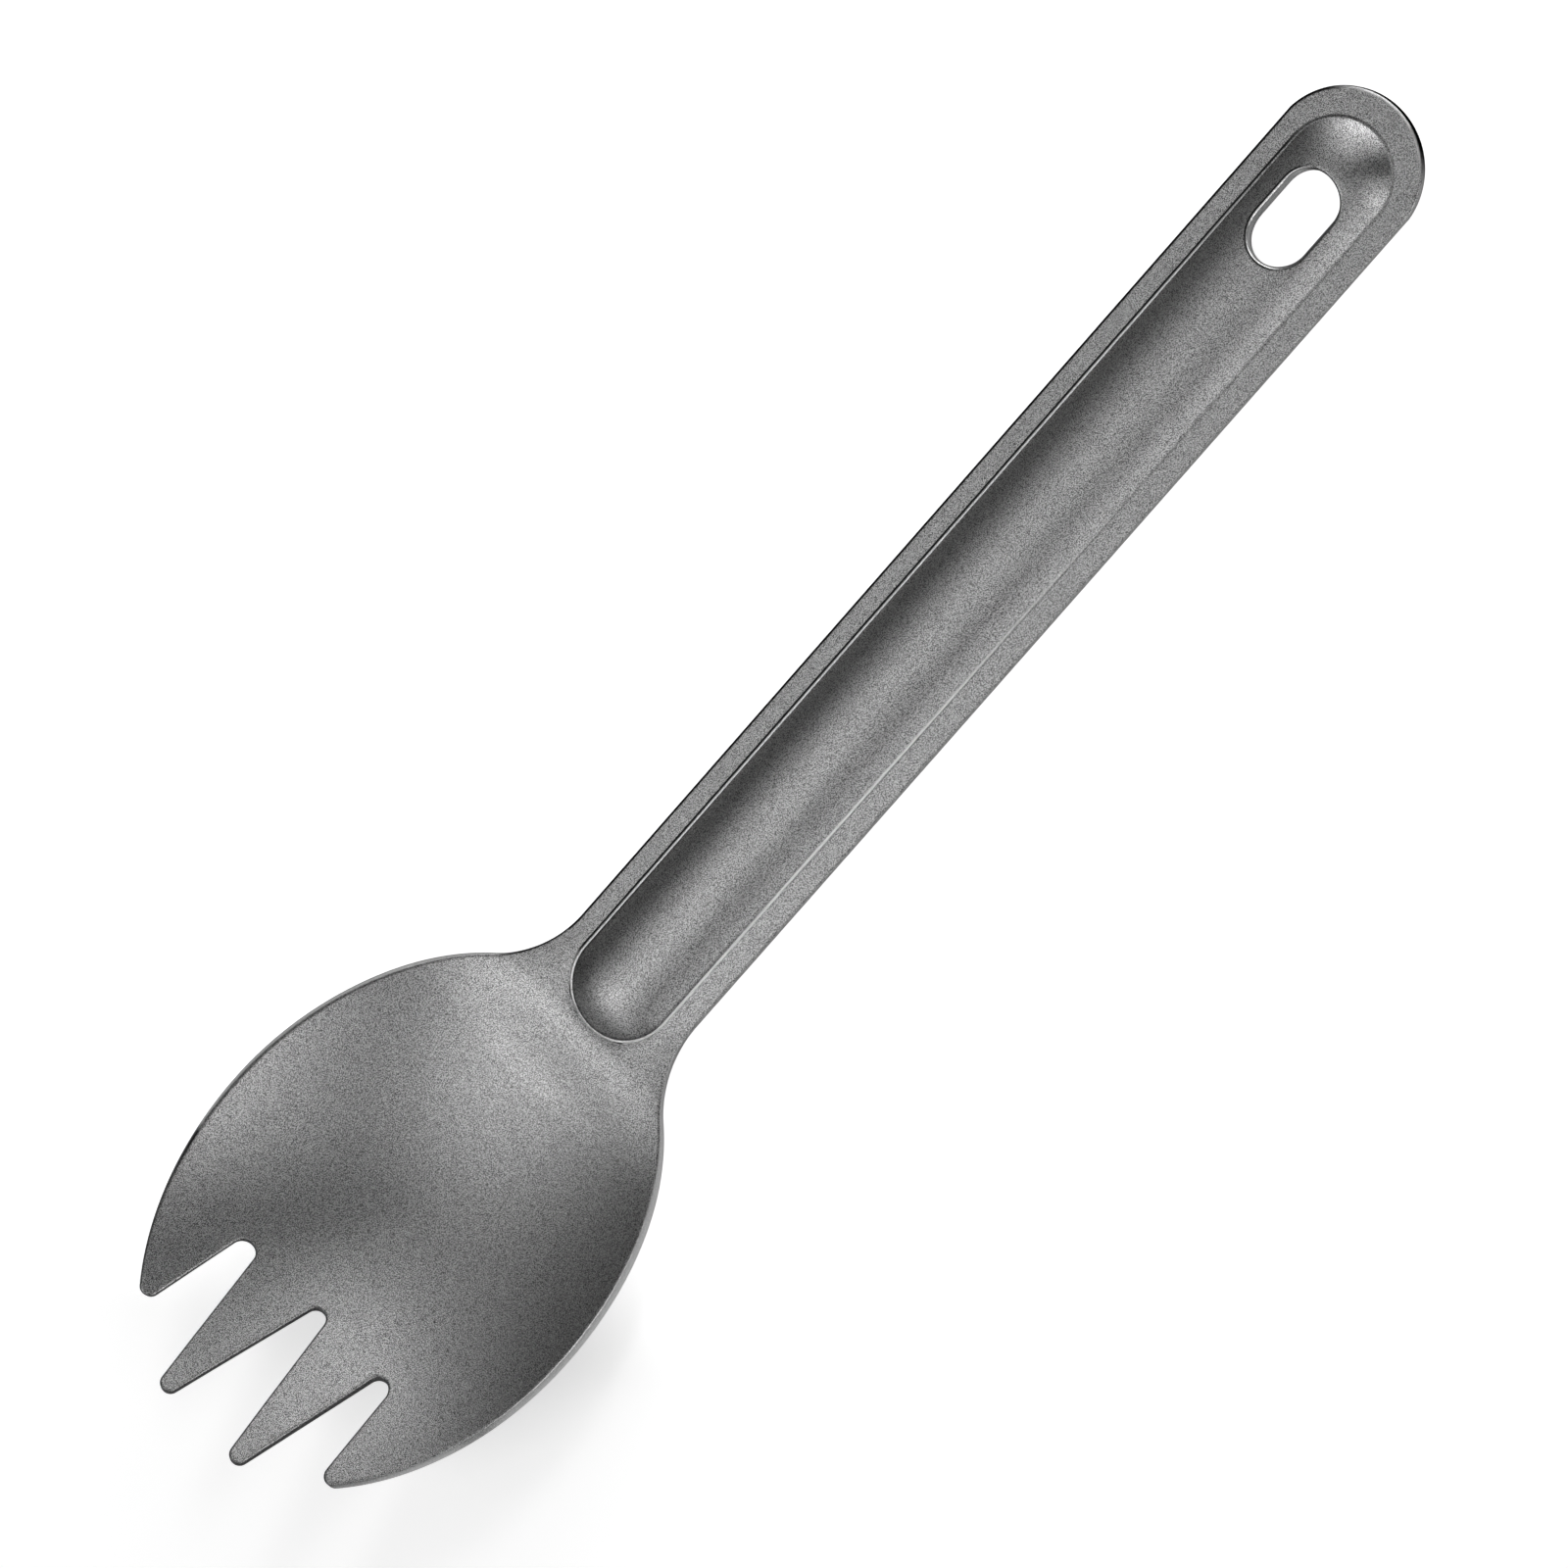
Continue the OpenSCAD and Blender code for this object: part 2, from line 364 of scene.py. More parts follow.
def outline():
    """The blank's outline, round from the tail's middle: the +Y half, then its mirror."""
    corner = math.asin(handle_b / end_r)
    corner_x = tail_x - end_r + end_r * math.cos(corner)
    touch = angle(-oval_normal(neck_u))
    bowl_n = math.ceil(BOWL_L / EDGE_STEP)
    bowl_u = neck_u + (outer_u - neck_u) * np.arange(bowl_n) / bowl_n
    out_start = angle(outer_n)
    out_end = turned(out_start, angle(-side_out_n), -1)
    gap_start = angle(side_out_n)
    gap_end = turned(gap_start, angle(side_in_n), 1)
    in_start = angle(-side_in_n)
    in_end = turned(in_start, angle(-mid_n), -1)
    mid_start = angle(mid_n)
    in_plane = np.concatenate(
        [
            arc(outer_tip, TIP_R, out_start, out_end),
            straight(
                outer_tip - TIP_R * side_out_n,
                side_root + SIDE_ROOT_R * side_out_n,
            ),
            arc(side_root, SIDE_ROOT_R, gap_start, gap_end),
            straight(
                side_root + SIDE_ROOT_R * side_in_n, inner_tip - TIP_R * side_in_n
            ),
            arc(inner_tip, TIP_R, in_start, in_end),
            straight(inner_tip - TIP_R * mid_n, mid_root + MID_ROOT_R * mid_n),
            arc(mid_root, MID_ROOT_R, mid_start, turned(mid_start, math.pi, 1)),
        ]
    )
    half = np.concatenate(
        [
            arc([tail_x - end_r, 0], end_r, 0, corner),
            straight([corner_x, handle_b], [neck_x, handle_b]),
            arc(neck_c, NECK_R, -math.pi / 2, touch),
            np.array([oval(u) for u in bowl_u]),
            to_plan(in_plane),
            [[root_x, 0]],
        ]
    )
    return np.concatenate([half, (half[1:-1] * [1, -1])[::-1]])


def stadium(centre_x, half_run, r, step=EDGE_STEP):
    """A round-ended slot's outline."""
    right, left = centre_x + half_run, centre_x - half_run
    quarter = math.pi / 2
    return np.concatenate(
        [
            arc([right, 0], r, -quarter, quarter, step),
            straight([right, r], [left, r], step),
            arc([left, 0], r, quarter, 3 * quarter, step),
            straight([left, -r], [right, -r], step),
        ]
    )


def slot_outline():
    """The slot along the middle of the sheet, drawn in by the tilt of the ridge's sides."""
    loop = stadium(tail_x - SLOT_IN, (SLOT_L - SLOT_W) / 2, SLOT_W / 2)
    return loop * [1, 1 - HALF_T / ridge_r]


def inside(points, loop):
    """Which points lie inside a closed loop."""
    x, y = points[:, 0], points[:, 1]
    found = np.zeros(len(points), bool)
    for (ax, ay), (bx, by) in zip(loop, np.roll(loop, -1, axis=0)):
        if ay != by:
            crosses = (ay > y) != (by > y)
            found ^= crosses & (x < (bx - ax) * (y - ay) / (by - ay) + ax)
    return found


def nearest(points, others):
    """Distance in plan from each point to the nearest of the others, and that one's number."""
    tree = KDTree(len(others))
    for i, (x, y) in enumerate(others):
        tree.insert((x, y, 0), i)
    tree.balance()
    found = [tree.find((x, y, 0)) for x, y in points]
    return np.array([f[2] for f in found]), np.array([f[1] for f in found])


def ridge_points():
    """Rows that follow the ridge, close together where its foot turns, then the flat edge."""
    back = np.arange(0, fillet_near - RIDGE_STEP / 2, RIDGE_STEP)
    foot = np.linspace(fillet_near - FOOT_LEAD, fillet_far, FOOT_ROWS)
    witness = np.arange(fillet_far + WITNESS_STEP, WITNESS_D + WITNESS_REACH, WITNESS_STEP)
    flat = fillet_far + np.array(FLAT_ROWS)
    runs = np.arange(bar_neck_x, bar_tail_x, EDGE_STEP * 2)
    ends = np.radians(np.arange(-90, 91, CAP_TURN))
    rows = []
    for d in np.concatenate([back, foot, witness, flat]):
        for side in (-1, 1) if d else (1,):
            rows.append(np.stack([runs, np.full(len(runs), side * d)], axis=1))
        if d:
            cap = np.stack([d * np.cos(ends), d * np.sin(ends)], axis=1)
            rows.append(cap + [bar_tail_x, 0])
            if d < flat[0]:
                rows.append(cap * [-1, 1] + [bar_neck_x, 0])
    return np.concatenate(rows)


def bowl_points():
    """An even triangular grid over the bowl, the neck and the tines."""
    row_step = BOWL_STEP * math.sqrt(3) / 2
    rows = []
    for i, y in enumerate(np.arange(-oval_b, oval_b, row_step)):
        shift = BOWL_STEP / 2 * (i % 2)
        x = np.arange(tip_x, bar_neck_x, BOWL_STEP) + shift
        rows.append(np.stack([x, np.full(len(x), y)], axis=1))
    grid = np.concatenate(rows)
    return grid[bar_distance(grid[:, 0], grid[:, 1]) > fillet_far + RIDGE_CLEAR]


def deselect_all():
    bpy.ops.object.select_all(action="DESELECT")


def make_active(obj):
    deselect_all()
    obj.select_set(True)
    bpy.context.view_layer.objects.active = obj


def apply_modifier(obj, kind, **settings):
    make_active(obj)
    modifier = obj.modifiers.new(kind.lower(), kind)
    for name, value in settings.items():
        setattr(modifier, name, value)
    bpy.ops.object.modifier_apply(modifier=modifier.name)


def cut_blank():
    """The flat blank: one even skin of triangles inside the outline, round the slot."""
    edge = outline()
    slot = slot_outline()
    loose = np.concatenate([ridge_points(), bowl_points()])
    kept = inside(loose, edge) & ~inside(loose, slot)
    loose = loose[kept]
    fine_edge = np.concatenate([edge, slot])
    loose = loose[nearest(loose, fine_edge)[0] > EDGE_CLEAR]
    points = np.concatenate([edge, slot, loose])
    ring = [(i, (i + 1) % len(edge)) for i in range(len(edge))]
    start, n = len(edge), len(slot)
    ring += [(start + i, start + (i + 1) % n) for i in range(n)]
    verts, _, faces, *_ = delaunay_2d_cdt(
        [Vector(p) for p in points], ring, [], 0, MERGE
    )
    flat = np.array([(v.x, v.y) for v in verts])
    middles = np.array([flat[list(f)].mean(axis=0) for f in faces])
    solid = inside(middles, edge) & ~inside(middles, slot)
    faces = [f for f, keep in zip(faces, solid) if keep]
    mesh = bpy.data.meshes.new("spork_shell")
    mesh.from_pydata([(x * MM, y * MM, 0) for x, y in flat], [], faces)
    obj = bpy.data.objects.new("spork_shell", mesh)
    bpy.context.scene.collection.objects.link(obj)
    return obj, (edge, slot)


def tidy_blank(obj):
    """Loose points out, faces up, and one even strip of faces along every edge."""
    make_active(obj)
    bpy.ops.object.mode_set(mode="EDIT")
    bpy.ops.mesh.select_all(action="SELECT")
    bpy.ops.mesh.delete_loose()
    bpy.ops.mesh.select_all(action="SELECT")
    bpy.ops.mesh.normals_make_consistent(inside=False)
    bpy.ops.mesh.inset(thickness=EDGE_STRIP * MM, use_boundary=True)
    bpy.ops.object.mode_set(mode="OBJECT")
    if obj.data.polygons[0].normal.z < 0:
        bpy.ops.object.mode_set(mode="EDIT")
        bpy.ops.mesh.select_all(action="SELECT")
        bpy.ops.mesh.flip_normals()
        bpy.ops.object.mode_set(mode="OBJECT")


def press(obj):
    """The blank pressed to shape: every point lifted to the height of the sheet's middle."""
    mesh = obj.data
    co = np.empty(len(mesh.vertices) * 3)
    mesh.vertices.foreach_get("co", co)
    co = co.reshape(-1, 3)
    co[:, 2] = sheet_z(co[:, 0] / MM, co[:, 1] / MM) * MM
    mesh.vertices.foreach_set("co", co.ravel())
    mesh.update()


def give_thickness(obj):
    """Sheet thickness to both sides, then the rounded edges that tumbling leaves. The bevel's
    own limit is off, because one small face would take the rounding away everywhere."""
    apply_modifier(
        obj,
        "SOLIDIFY",
        thickness=SHEET_T * MM,
        offset=0,
        use_even_offset=True,
        use_rim=True,
    )
    apply_modifier(
        obj,
        "BEVEL",
        width=EDGE_ROUND * MM,
        segments=EDGE_ROUND_SEGMENTS,
        limit_method="ANGLE",
        angle_limit=CORNER_ANGLE,
        use_clamp_overlap=False,
    )


def line_share(x, y):
    """How far the die's line stands up: it runs out before the handle's end, sooner on -Y."""
    both_sides = fade(x, WITNESS_LAST_X, bar_tail_x - WITNESS_LAST_GAP)
    return both_sides * np.where(y < 0, fade(x, *WITNESS_RIGHT_X), 1)


def raise_witness_line(obj):
    """The die's fine line round the ridge's foot, drawn up out of the upper face."""
    mesh = obj.data
    count = len(mesh.vertices)
    co = np.empty(count * 3)
    no = np.empty(count * 3)
    mesh.vertices.foreach_get("co", co)
    mesh.vertices.foreach_get("normal", no)
    co, no = co.reshape(-1, 3), no.reshape(-1, 3)
    x, y = co[:, 0] / MM, co[:, 1] / MM
    off = np.clip(np.abs(bar_distance(x, y) - WITNESS_D) / (WITNESS_W / 2), 0, 1)
    upper = no[:, 2] > UPWARD
    lift = WITNESS_H / 2 * (1 + np.cos(math.pi * off)) * upper
    lift *= line_share(x, y)
    co += no * (lift * MM)[:, None]
    mesh.vertices.foreach_set("co", co.ravel())
    mesh.update()


# Step over which the sheet's slope is measured, and the rounds that find a point's place on it
PROBE = 0.01
PLACE_ROUNDS = 5
# Points along each stretch of the outline, from which distances to the edge are measured
EDGE_SAMPLES = 8


def sheet_place(points):
    """Where points lie on the sheet: their plan place on its middle, and their height off it."""
    plan = points[:, :2].copy()
    for _ in range(PLACE_ROUNDS):
        x, y = plan[:, 0], plan[:, 1]
        slope_x = (sheet_z(x + PROBE, y) - sheet_z(x - PROBE, y)) / (2 * PROBE)
        slope_y = (sheet_z(x, y + PROBE) - sheet_z(x, y - PROBE)) / (2 * PROBE)
        size = np.sqrt(1 + slope_x**2 + slope_y**2)
        off = (points[:, 2] - sheet_z(x, y)) / size
        plan = points[:, :2] + np.stack([slope_x, slope_y], axis=1) * (off / size)[:, None]
    return plan, off


def edge_samples(loops):
    """Points close together along the outline and the slot, with the way out at each."""
    places, ways = [], []
    for loop, side in zip(loops, (1, -1)):
        run = np.roll(loop, -1, axis=0) - loop
        way = np.stack([run[:, 1], -run[:, 0]], axis=1) * side
        way /= np.linalg.norm(way, axis=1, keepdims=True)
        for t in np.arange(EDGE_SAMPLES) / EDGE_SAMPLES:
            places.append(loop + run * t)
            ways.append(way)
    return np.concatenate(places), np.concatenate(ways)


# Painted highlight and shade are written in millimetres. A place along the length is given by
# how far from the handle's end, the neck or the tines' roots its change starts and ends, a strip
# by how far in from the edge it starts to fade and is gone, and a line by its middle, how far to
# each side it is full, and where it is gone
TAIL_PLACE = (-4, -1)
HANDLE_PLACE = (-4, 0)
TINES_PLACE = (0, 4)
BOWL_PLACE = (2, 8)
BOWL_NECK_PLACE = (-8, 2)
BOWL_NECK_SOONER = 8
INNER_NECK_PLACE = (-16, -6)
SLOT_MARGIN = 1
OUTER_EDGE_STRIP = (0.7, 1.2)
# How far an edge may lean towards +X and -Y and still count as facing away, wholly or at all
AWAY_LEAN = (-0.15, 0.35)
# Heights off the sheet's middle: where the upper corner starts, where the wall's flat part
# fades and is gone, where the wall at the handle's end stops, and where the lower corner
# starts. The wall is also this strip in from the edge
UPPER_FROM = 0.15
WALL_HALF = (0.36, 0.5)
TAIL_WALL_TOP = 0.53
LOWER_FROM = -0.35
WALL_STRIP = (0.02, 0.12)

# Where a highlight is painted on the blanked edge, and how strongly, from 0 to 1
BOWL_CORNER_STRIP = (0.06, 0.12)
BOWL_CORNER_HIGHLIGHT = 0.6
WALL_LOW_HIGHLIGHT = 0.65
WALL_HIGH_HIGHLIGHT = 0.5
HANDLE_WALL_HIGHLIGHT = 0.25
SLOT_CORNER_STRIP = (0.1, 0.16)
SLOT_CORNER_HIGHLIGHT = 0.9
TAIL_CORNER_LINE = (0.21, 0.05, 0.1)

# Where shade is painted on it, how strongly, and how much less so in some places (each _EASE)
HANDLE_CORNER_STRIP = (0.25, 0.35)
TINE_CORNER_LINE = (0.09, 0.08, 0.16)
SLOT_CORNER_EASE = 0.25
TINE_CORNER_EASE = 0.4
BOWL_AWAY_LINE = (0.22, 0.075, 0.15)
BOWL_AWAY_SHADE = 0.6
BOWL_INNER_LINE = (0.18, 0.07, 0.14)
BOWL_INNER_SHADE = 0.45
SLOT_LINE = (0.2, 0.06, 0.12)
TAIL_WALL_STRIP = (0.08, 0.13)
GAP_WALL_SHADE = 0.6
LOWER_STRIP = (0.15, 0.3)
LOWER_SHADE = 0.7
LOWER_EASE = 0.7
# What the outer tines' own edge keeps of the gaps' painted shade where it faces away
OUTER_AWAY_SHARE = 0.4


def line_at(value, middle, full, gone):
    """1 in the middle of a narrow line, falling smoothly to 0 at its sides."""
    return fade(np.abs(value - middle), full, gone)


def beside(place, reach):
    """Where a change starts and ends, from how far each lies from a place along the length."""
    return place + reach[0], place + reach[1]


def edge_zones(x, y, off, from_edge, out_way):
    """Where each kind of painted highlight and painted shade on the edge belongs, from 0 to 1 at
    every point.
    """
    zone = SimpleNamespace()
    # Edges that face the tines or +Y, and those that face the handle's end or -Y
    least, most = AWAY_LEAN
    lean = out_way @ unit([1, -1])
    zone.away = np.clip((most - lean) / (most - least), 0, 1)
    zone.toward = 1 - zone.away
    # Stretches of the length
    zone.tail = grow(x, *beside(tail_x, TAIL_PLACE))
    zone.handle = grow(x, *beside(neck_x, HANDLE_PLACE))
    zone.tines = fade(x, *beside(root_x, TINES_PLACE))
    past_roots = grow(x, *beside(root_x, BOWL_PLACE))
    bowl_end = neck_x - BOWL_NECK_SOONER * zone.away
    zone.bowl = past_roots * fade(x, *beside(bowl_end, BOWL_NECK_PLACE))
    zone.inner = past_roots * fade(x, *beside(neck_x, INNER_NECK_PLACE)) * zone.toward
    # The slot, and the outline's own edge without the gaps between the tines
    along_slot = np.abs(x - tail_x + SLOT_IN) < SLOT_L / 2 + SLOT_MARGIN
    zone.slot = along_slot & (np.abs(y) < SLOT_W / 2 + SLOT_MARGIN)
    zone.outer = fade(half_b(x) - np.abs(y), *OUTER_EDGE_STRIP)
    # Levels through the sheet: its upper corner, the flat part of its wall, its lower corner
    zone.upper = off > UPPER_FROM
    zone.wall = fade(from_edge, *WALL_STRIP) * fade(np.abs(off), *WALL_HALF)
    zone.lower = fade(from_edge, *LOWER_STRIP) * (off < LOWER_FROM)
    # The walls with a painted highlight: the bowl's and the outer tines' edges that face the
    # handle's end or -Y
    zone.burnished = np.maximum(zone.bowl, zone.tines * zone.outer) * zone.toward
    return zone


def edge_painted_highlight(zone, off, from_edge):
    """How strongly a highlight is painted on the blanked edge."""
    bowl_corner = zone.bowl * zone.away * zone.upper * fade(from_edge, *BOWL_CORNER_STRIP)
    burnished = np.where(off < 0, WALL_LOW_HIGHLIGHT, WALL_HIGH_HIGHLIGHT)
    plain_handle = (1 - zone.tines) * (1 - zone.tail) * (1 - zone.bowl)
    slot_corner = zone.slot * zone.toward * zone.upper * fade(from_edge, *SLOT_CORNER_STRIP)
    tail_corner = zone.tail * zone.toward * zone.upper * line_at(from_edge, *TAIL_CORNER_LINE)
    return np.maximum.reduce(
        [
            BOWL_CORNER_HIGHLIGHT * bowl_corner,
            burnished * zone.burnished * zone.wall,
            HANDLE_WALL_HIGHLIGHT * plain_handle * zone.wall,
            SLOT_CORNER_HIGHLIGHT * slot_corner,
            tail_corner,
        ]
    )


def edge_painted_shade(zone, off, from_edge):
    """How strongly shade is painted on the blanked edge: its corners that face away, a line
    inside the bowl's and the slot's corners, the walls of the gaps and of the handle's end,
    and the lower corner."""
    on_handle = zone.handle * (1 - zone.slot) > 0.5
    corner = np.where(
        on_handle,
        fade(from_edge, *HANDLE_CORNER_STRIP),
        line_at(from_edge, *TINE_CORNER_LINE),
    )
    corner *= zone.away * zone.upper
    corner *= (1 - SLOT_CORNER_EASE * zone.slot) * (1 - TINE_CORNER_EASE * zone.tines)
    bowl_away = zone.bowl * zone.away * zone.upper * line_at(from_edge, *BOWL_AWAY_LINE)
    bowl_inner = zone.inner * zone.upper * line_at(from_edge, *BOWL_INNER_LINE)
    slot_line = zone.slot * zone.toward * zone.upper * line_at(from_edge, *SLOT_LINE)
    tail_wall = zone.tail * fade(from_edge, *TAIL_WALL_STRIP) * (off < TAIL_WALL_TOP)
    in_gap = 1 - zone.outer * (1 - OUTER_AWAY_SHARE * zone.away)
    return np.maximum.reduce(
        [
            np.where(zone.bowl > 0.5, 0, corner),
            BOWL_AWAY_SHADE * bowl_away,
            BOWL_INNER_SHADE * bowl_inner,
            slot_line,
            tail_wall,
            GAP_WALL_SHADE * zone.tines * zone.wall * in_gap,
            LOWER_SHADE * zone.lower * (1 - LOWER_EASE * zone.burnished),
        ]
    )


# Painted light along the die's line: a painted highlight on its crest and painted shade in
# the creases beside it. A minus is towards the ridge
CREST_LINE = (0, 0.08, 0.14)
LEFT_CREASE = (0.19, 0.08, 0.15)
RIGHT_CREASE = (0.16, 0.05, 0.12)
TAIL_CREASE = (0.13, 0.08, 0.17)
INNER_CREASE = (-0.2, 0.05, 0.12)
FRONT_SHADE_LINE = (0.24, 0.08, 0.16)
# How strong the weaker ones are, and what the crest loses at the neck end: how much, and how
# far from the middle line, in full and at all
RIGHT_SHADE = 0.35
INNER_SHADE = 0.6
FRONT_SHADE = 0.25
CREST_LOSS = 0.6
CREST_LOSS_HALF = (2, 5)
# Stretches: round the neck end, the left crease's start on +Y and its end, the right crease's
# start and end, and round the handle's end, where the crease's painted shade is weaker towards -Y
NECK_END_PLACE = (-3, 0)
LEFT_FROM_Y = (2, 4)
LEFT_END_PLACE = (-1, 3)
RIGHT_START_X = (-20, 0)
RIGHT_END_PLACE = (0, 3)
TAIL_END_PLACE = (-2, 0)
TAIL_SHADE_MIDDLE = 0.55
TAIL_SHADE_PER_MM = 1 / 12
TAIL_SHADE_RANGE = (0.35, 0.8)


def line_highlight_and_shade(x, y, off):
    """The die's line: a painted highlight on its crest along the handle and round the neck end.
    Painted shade lies in a crease on its outer side along +Y, round the handle's end and
    faintly along -Y, in another on its inner side from the neck end to mid-length, and faintly
    round the neck end."""
    out = bar_distance(x, y) - WITNESS_D
    before_neck = fade(x, *beside(bar_neck_x, NECK_END_PLACE))
    near_middle = fade(np.abs(y), *CREST_LOSS_HALF)
    crest = line_at(out, *CREST_LINE) * line_share(x, y)
    crest *= 1 - CREST_LOSS * near_middle * before_neck
    left = line_at(out, *LEFT_CREASE) * grow(y, *LEFT_FROM_Y) * (1 - before_neck)
    left *= fade(x, *beside(bar_tail_x, LEFT_END_PLACE))
    right = RIGHT_SHADE * line_at(out, *RIGHT_CREASE) * (y < 0) * grow(x, *RIGHT_START_X)
    right *= fade(x, *beside(bar_tail_x, RIGHT_END_PLACE))
    tail = line_at(out, *TAIL_CREASE) * grow(x, *beside(bar_tail_x, TAIL_END_PLACE))
    tail *= np.clip(TAIL_SHADE_MIDDLE + y * TAIL_SHADE_PER_MM, *TAIL_SHADE_RANGE)
    inner = INNER_SHADE * line_at(out, *INNER_CREASE) * fade(x, bar_neck_x, 0)
    front = FRONT_SHADE * line_at(out, *FRONT_SHADE_LINE) * before_neck
    painted_shade = np.maximum.reduce([left, right, tail, inner, front])
    upper = off > 0
    return crest * upper, painted_shade * upper


def paint_highlight_and_shade(obj, loops):
    """Two values on every point: how strongly a highlight is painted on it, and how strongly
    shade.
    """
    mesh = obj.data
    co = np.empty(len(mesh.vertices) * 3)
    mesh.vertices.foreach_get("co", co)
    points = co.reshape(-1, 3) / MM
    plan, off = sheet_place(points)
    places, ways = edge_samples(loops)
    from_edge, which = nearest(plan, places)
    x, y = points[:, 0], points[:, 1]
    zone = edge_zones(x, y, off, from_edge, ways[which])
    edges = edge_painted_highlight(zone, off, from_edge), edge_painted_shade(zone, off, from_edge)
    lines = line_highlight_and_shade(x, y, off)
    # Each point keeps its painted highlight and its painted shade
    for name, a, b in zip(("painted_highlight", "painted_shade"), edges, lines):
        layer = mesh.attributes.new(name, "FLOAT", "POINT")
        layer.data.foreach_set("value", np.maximum(a, b).astype(np.float32))


def linear(hex_colour):
    """An sRGB hex colour as linear values."""
    parts = [int(hex_colour[i : i + 2], 16) / 255 for i in (1, 3, 5)]
    low = [c / 12.92 if c <= 0.04045 else ((c + 0.055) / 1.055) ** 2.4 for c in parts]
    return (*low, 1)


def add(tree, kind, links=(), **settings):
    """A node with its settings, its input values and its links."""
    node = tree.nodes.new(kind)
    for name, value in settings.items():
        if hasattr(node, name):
            setattr(node, name, value)
        else:
            node.inputs[name.replace("_", " ")].default_value = value
    for source, socket in links:
        tree.links.new(source, node.inputs[socket])
    return node


def new_material(name):
    material = bpy.data.materials.new(name)
    material.use_nodes = True
    material.node_tree.nodes.clear()
    return material, material.node_tree


# Width of the pits that the beads leave, and of the soft mottling among them, in millimetres
PIT = 0.076
MOTTLE = 0.45
MOTTLE_SHARE = 0.025
NOISE_ROUGHNESS = 0.55
# The grain is turned, so that no flat face lies along the noise's own cells
GRAIN_TURN = (0.6, 0.5, 0.3)
# Depth of the pits, in millimetres, and how much of it shows in the surface's slope
PIT_DEPTH = 0.03
PIT_SLOPE_SHARE = 0.75
# Where in the noise the darkest and the lightest tone of the pits lie
PIT_TONES = ((0.385, "#505050"), (0.615, "#c2c2c2"))
# Tones of the painted highlight and of the painted shade, and what is left, where shade is
# painted, of the sheen that metal has edge on
PAINTED_HIGHLIGHT_TONE = "#ececec"
PAINTED_SHADE_TONE = "#1a1a1a"
FULL_SHEEN = "#ffffff"
PAINTED_SHADE_SHEEN = "#202020"
ROUGHNESS = 0.33
HIGHLIGHT_ROUGHNESS = 0.29


def noise(tree, place, size, detail):
    return add(
        tree,
        "ShaderNodeTexNoise",
        [(place, "Vector")],
        Scale=1 / (size * MM),
        Detail=detail,
        Roughness=NOISE_ROUGHNESS,
    ).outputs["Fac"]


def mixed(tree, share, a, b):
    """A value between two others; each of the three is a number or a socket."""
    node = add(tree, "ShaderNodeMix", data_type="FLOAT")
    for socket, value in zip((node.inputs[0], node.inputs[2], node.inputs[3]), (share, a, b)):
        if isinstance(value, (int, float)):
            socket.default_value = value
        else:
            tree.links.new(value, socket)
    return node.outputs[0]


def colour_mixed(tree, share, a, b):
    """A colour between two others; the share is a socket, the colours sockets or hex values."""
    node = add(tree, "ShaderNodeMix", data_type="RGBA")
    tree.links.new(share, node.inputs[0])
    for socket, value in zip((node.inputs[6], node.inputs[7]), (a, b)):
        if isinstance(value, str):
            socket.default_value = linear(value)
        else:
            tree.links.new(value, socket)
    return node.outputs[2]


def bead_blasted_titanium():
    """Commercially pure titanium, pressed, bead blasted and tumbled: an even, soft neutral
    sheen broken by fine pits. Highlights are painted on corners and on the die's line, and
    shade is painted on the sheared edges and the creases beside the line."""
    material, tree = new_material("bead_blasted_titanium")
    place = add(tree, "ShaderNodeTexCoord").outputs["Object"]
    place = add(tree, "ShaderNodeMapping", [(place, "Vector")], Rotation=GRAIN_TURN).outputs[0]
    pits = noise(tree, place, PIT, 0.0)
    mottle = noise(tree, place, MOTTLE, 2.0)
    surface = mixed(tree, MOTTLE_SHARE, pits, mottle)
    tone = add(tree, "ShaderNodeValToRGB", [(surface, "Fac")])
    for stop, (position, colour) in zip(tone.color_ramp.elements, PIT_TONES):
        stop.position = position
        stop.color = linear(colour)
    # The two values that paint highlight and shade on the metal
    painted_highlight = add(tree, "ShaderNodeAttribute", attribute_name="painted_highlight").outputs["Fac"]
    painted_shade = add(tree, "ShaderNodeAttribute", attribute_name="painted_shade").outputs["Fac"]
    colour = colour_mixed(tree, painted_shade, tone.outputs["Color"], PAINTED_SHADE_TONE)
    colour = colour_mixed(tree, painted_highlight, colour, PAINTED_HIGHLIGHT_TONE)
    sheen = colour_mixed(tree, painted_shade, FULL_SHEEN, PAINTED_SHADE_SHEEN)
    bump = add(
        tree,
        "ShaderNodeBump",
        [(surface, "Height")],
        Strength=PIT_SLOPE_SHARE,
        Distance=PIT_DEPTH * MM,
    )
    shader = add(
        tree,
        "ShaderNodeBsdfPrincipled",
        [
            (colour, "Base Color"),
            (sheen, "Specular Tint"),
            (mixed(tree, painted_highlight, ROUGHNESS, HIGHLIGHT_ROUGHNESS), "Roughness"),
            (bump.outputs["Normal"], "Normal"),
        ],
        Metallic=1.0,
    )
    add(tree, "ShaderNodeOutputMaterial", [(shader.outputs[0], "Surface")])
    return material


def build_spork():
    obj, loops = cut_blank()
    tidy_blank(obj)
    press(obj)
    give_thickness(obj)
    raise_witness_line(obj)
    paint_highlight_and_shade(obj, loops)
    make_active(obj)
    bpy.ops.object.shade_smooth()
    obj.data.materials.append(bead_blasted_titanium())
    return obj


spork = build_spork()
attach(spork, "root")
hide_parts("spork_body")


# The floor: white paper, which the camera sees as pure white except near the bowl's shadow.
# The glow that it adds for the camera is weak past the tines and on the bowl's -Y side, where
# that shadow lies, and grows from there in the direction GLOW_WAY
FLOOR_SIZE = 4.0
BOWL_GLOW = 0.46
HANDLE_GLOW = 0.9
GLOW_WAY = (0.8, 0.6, 0)
GLOW_FROM = -58 * MM
GLOW_TO = -42 * MM


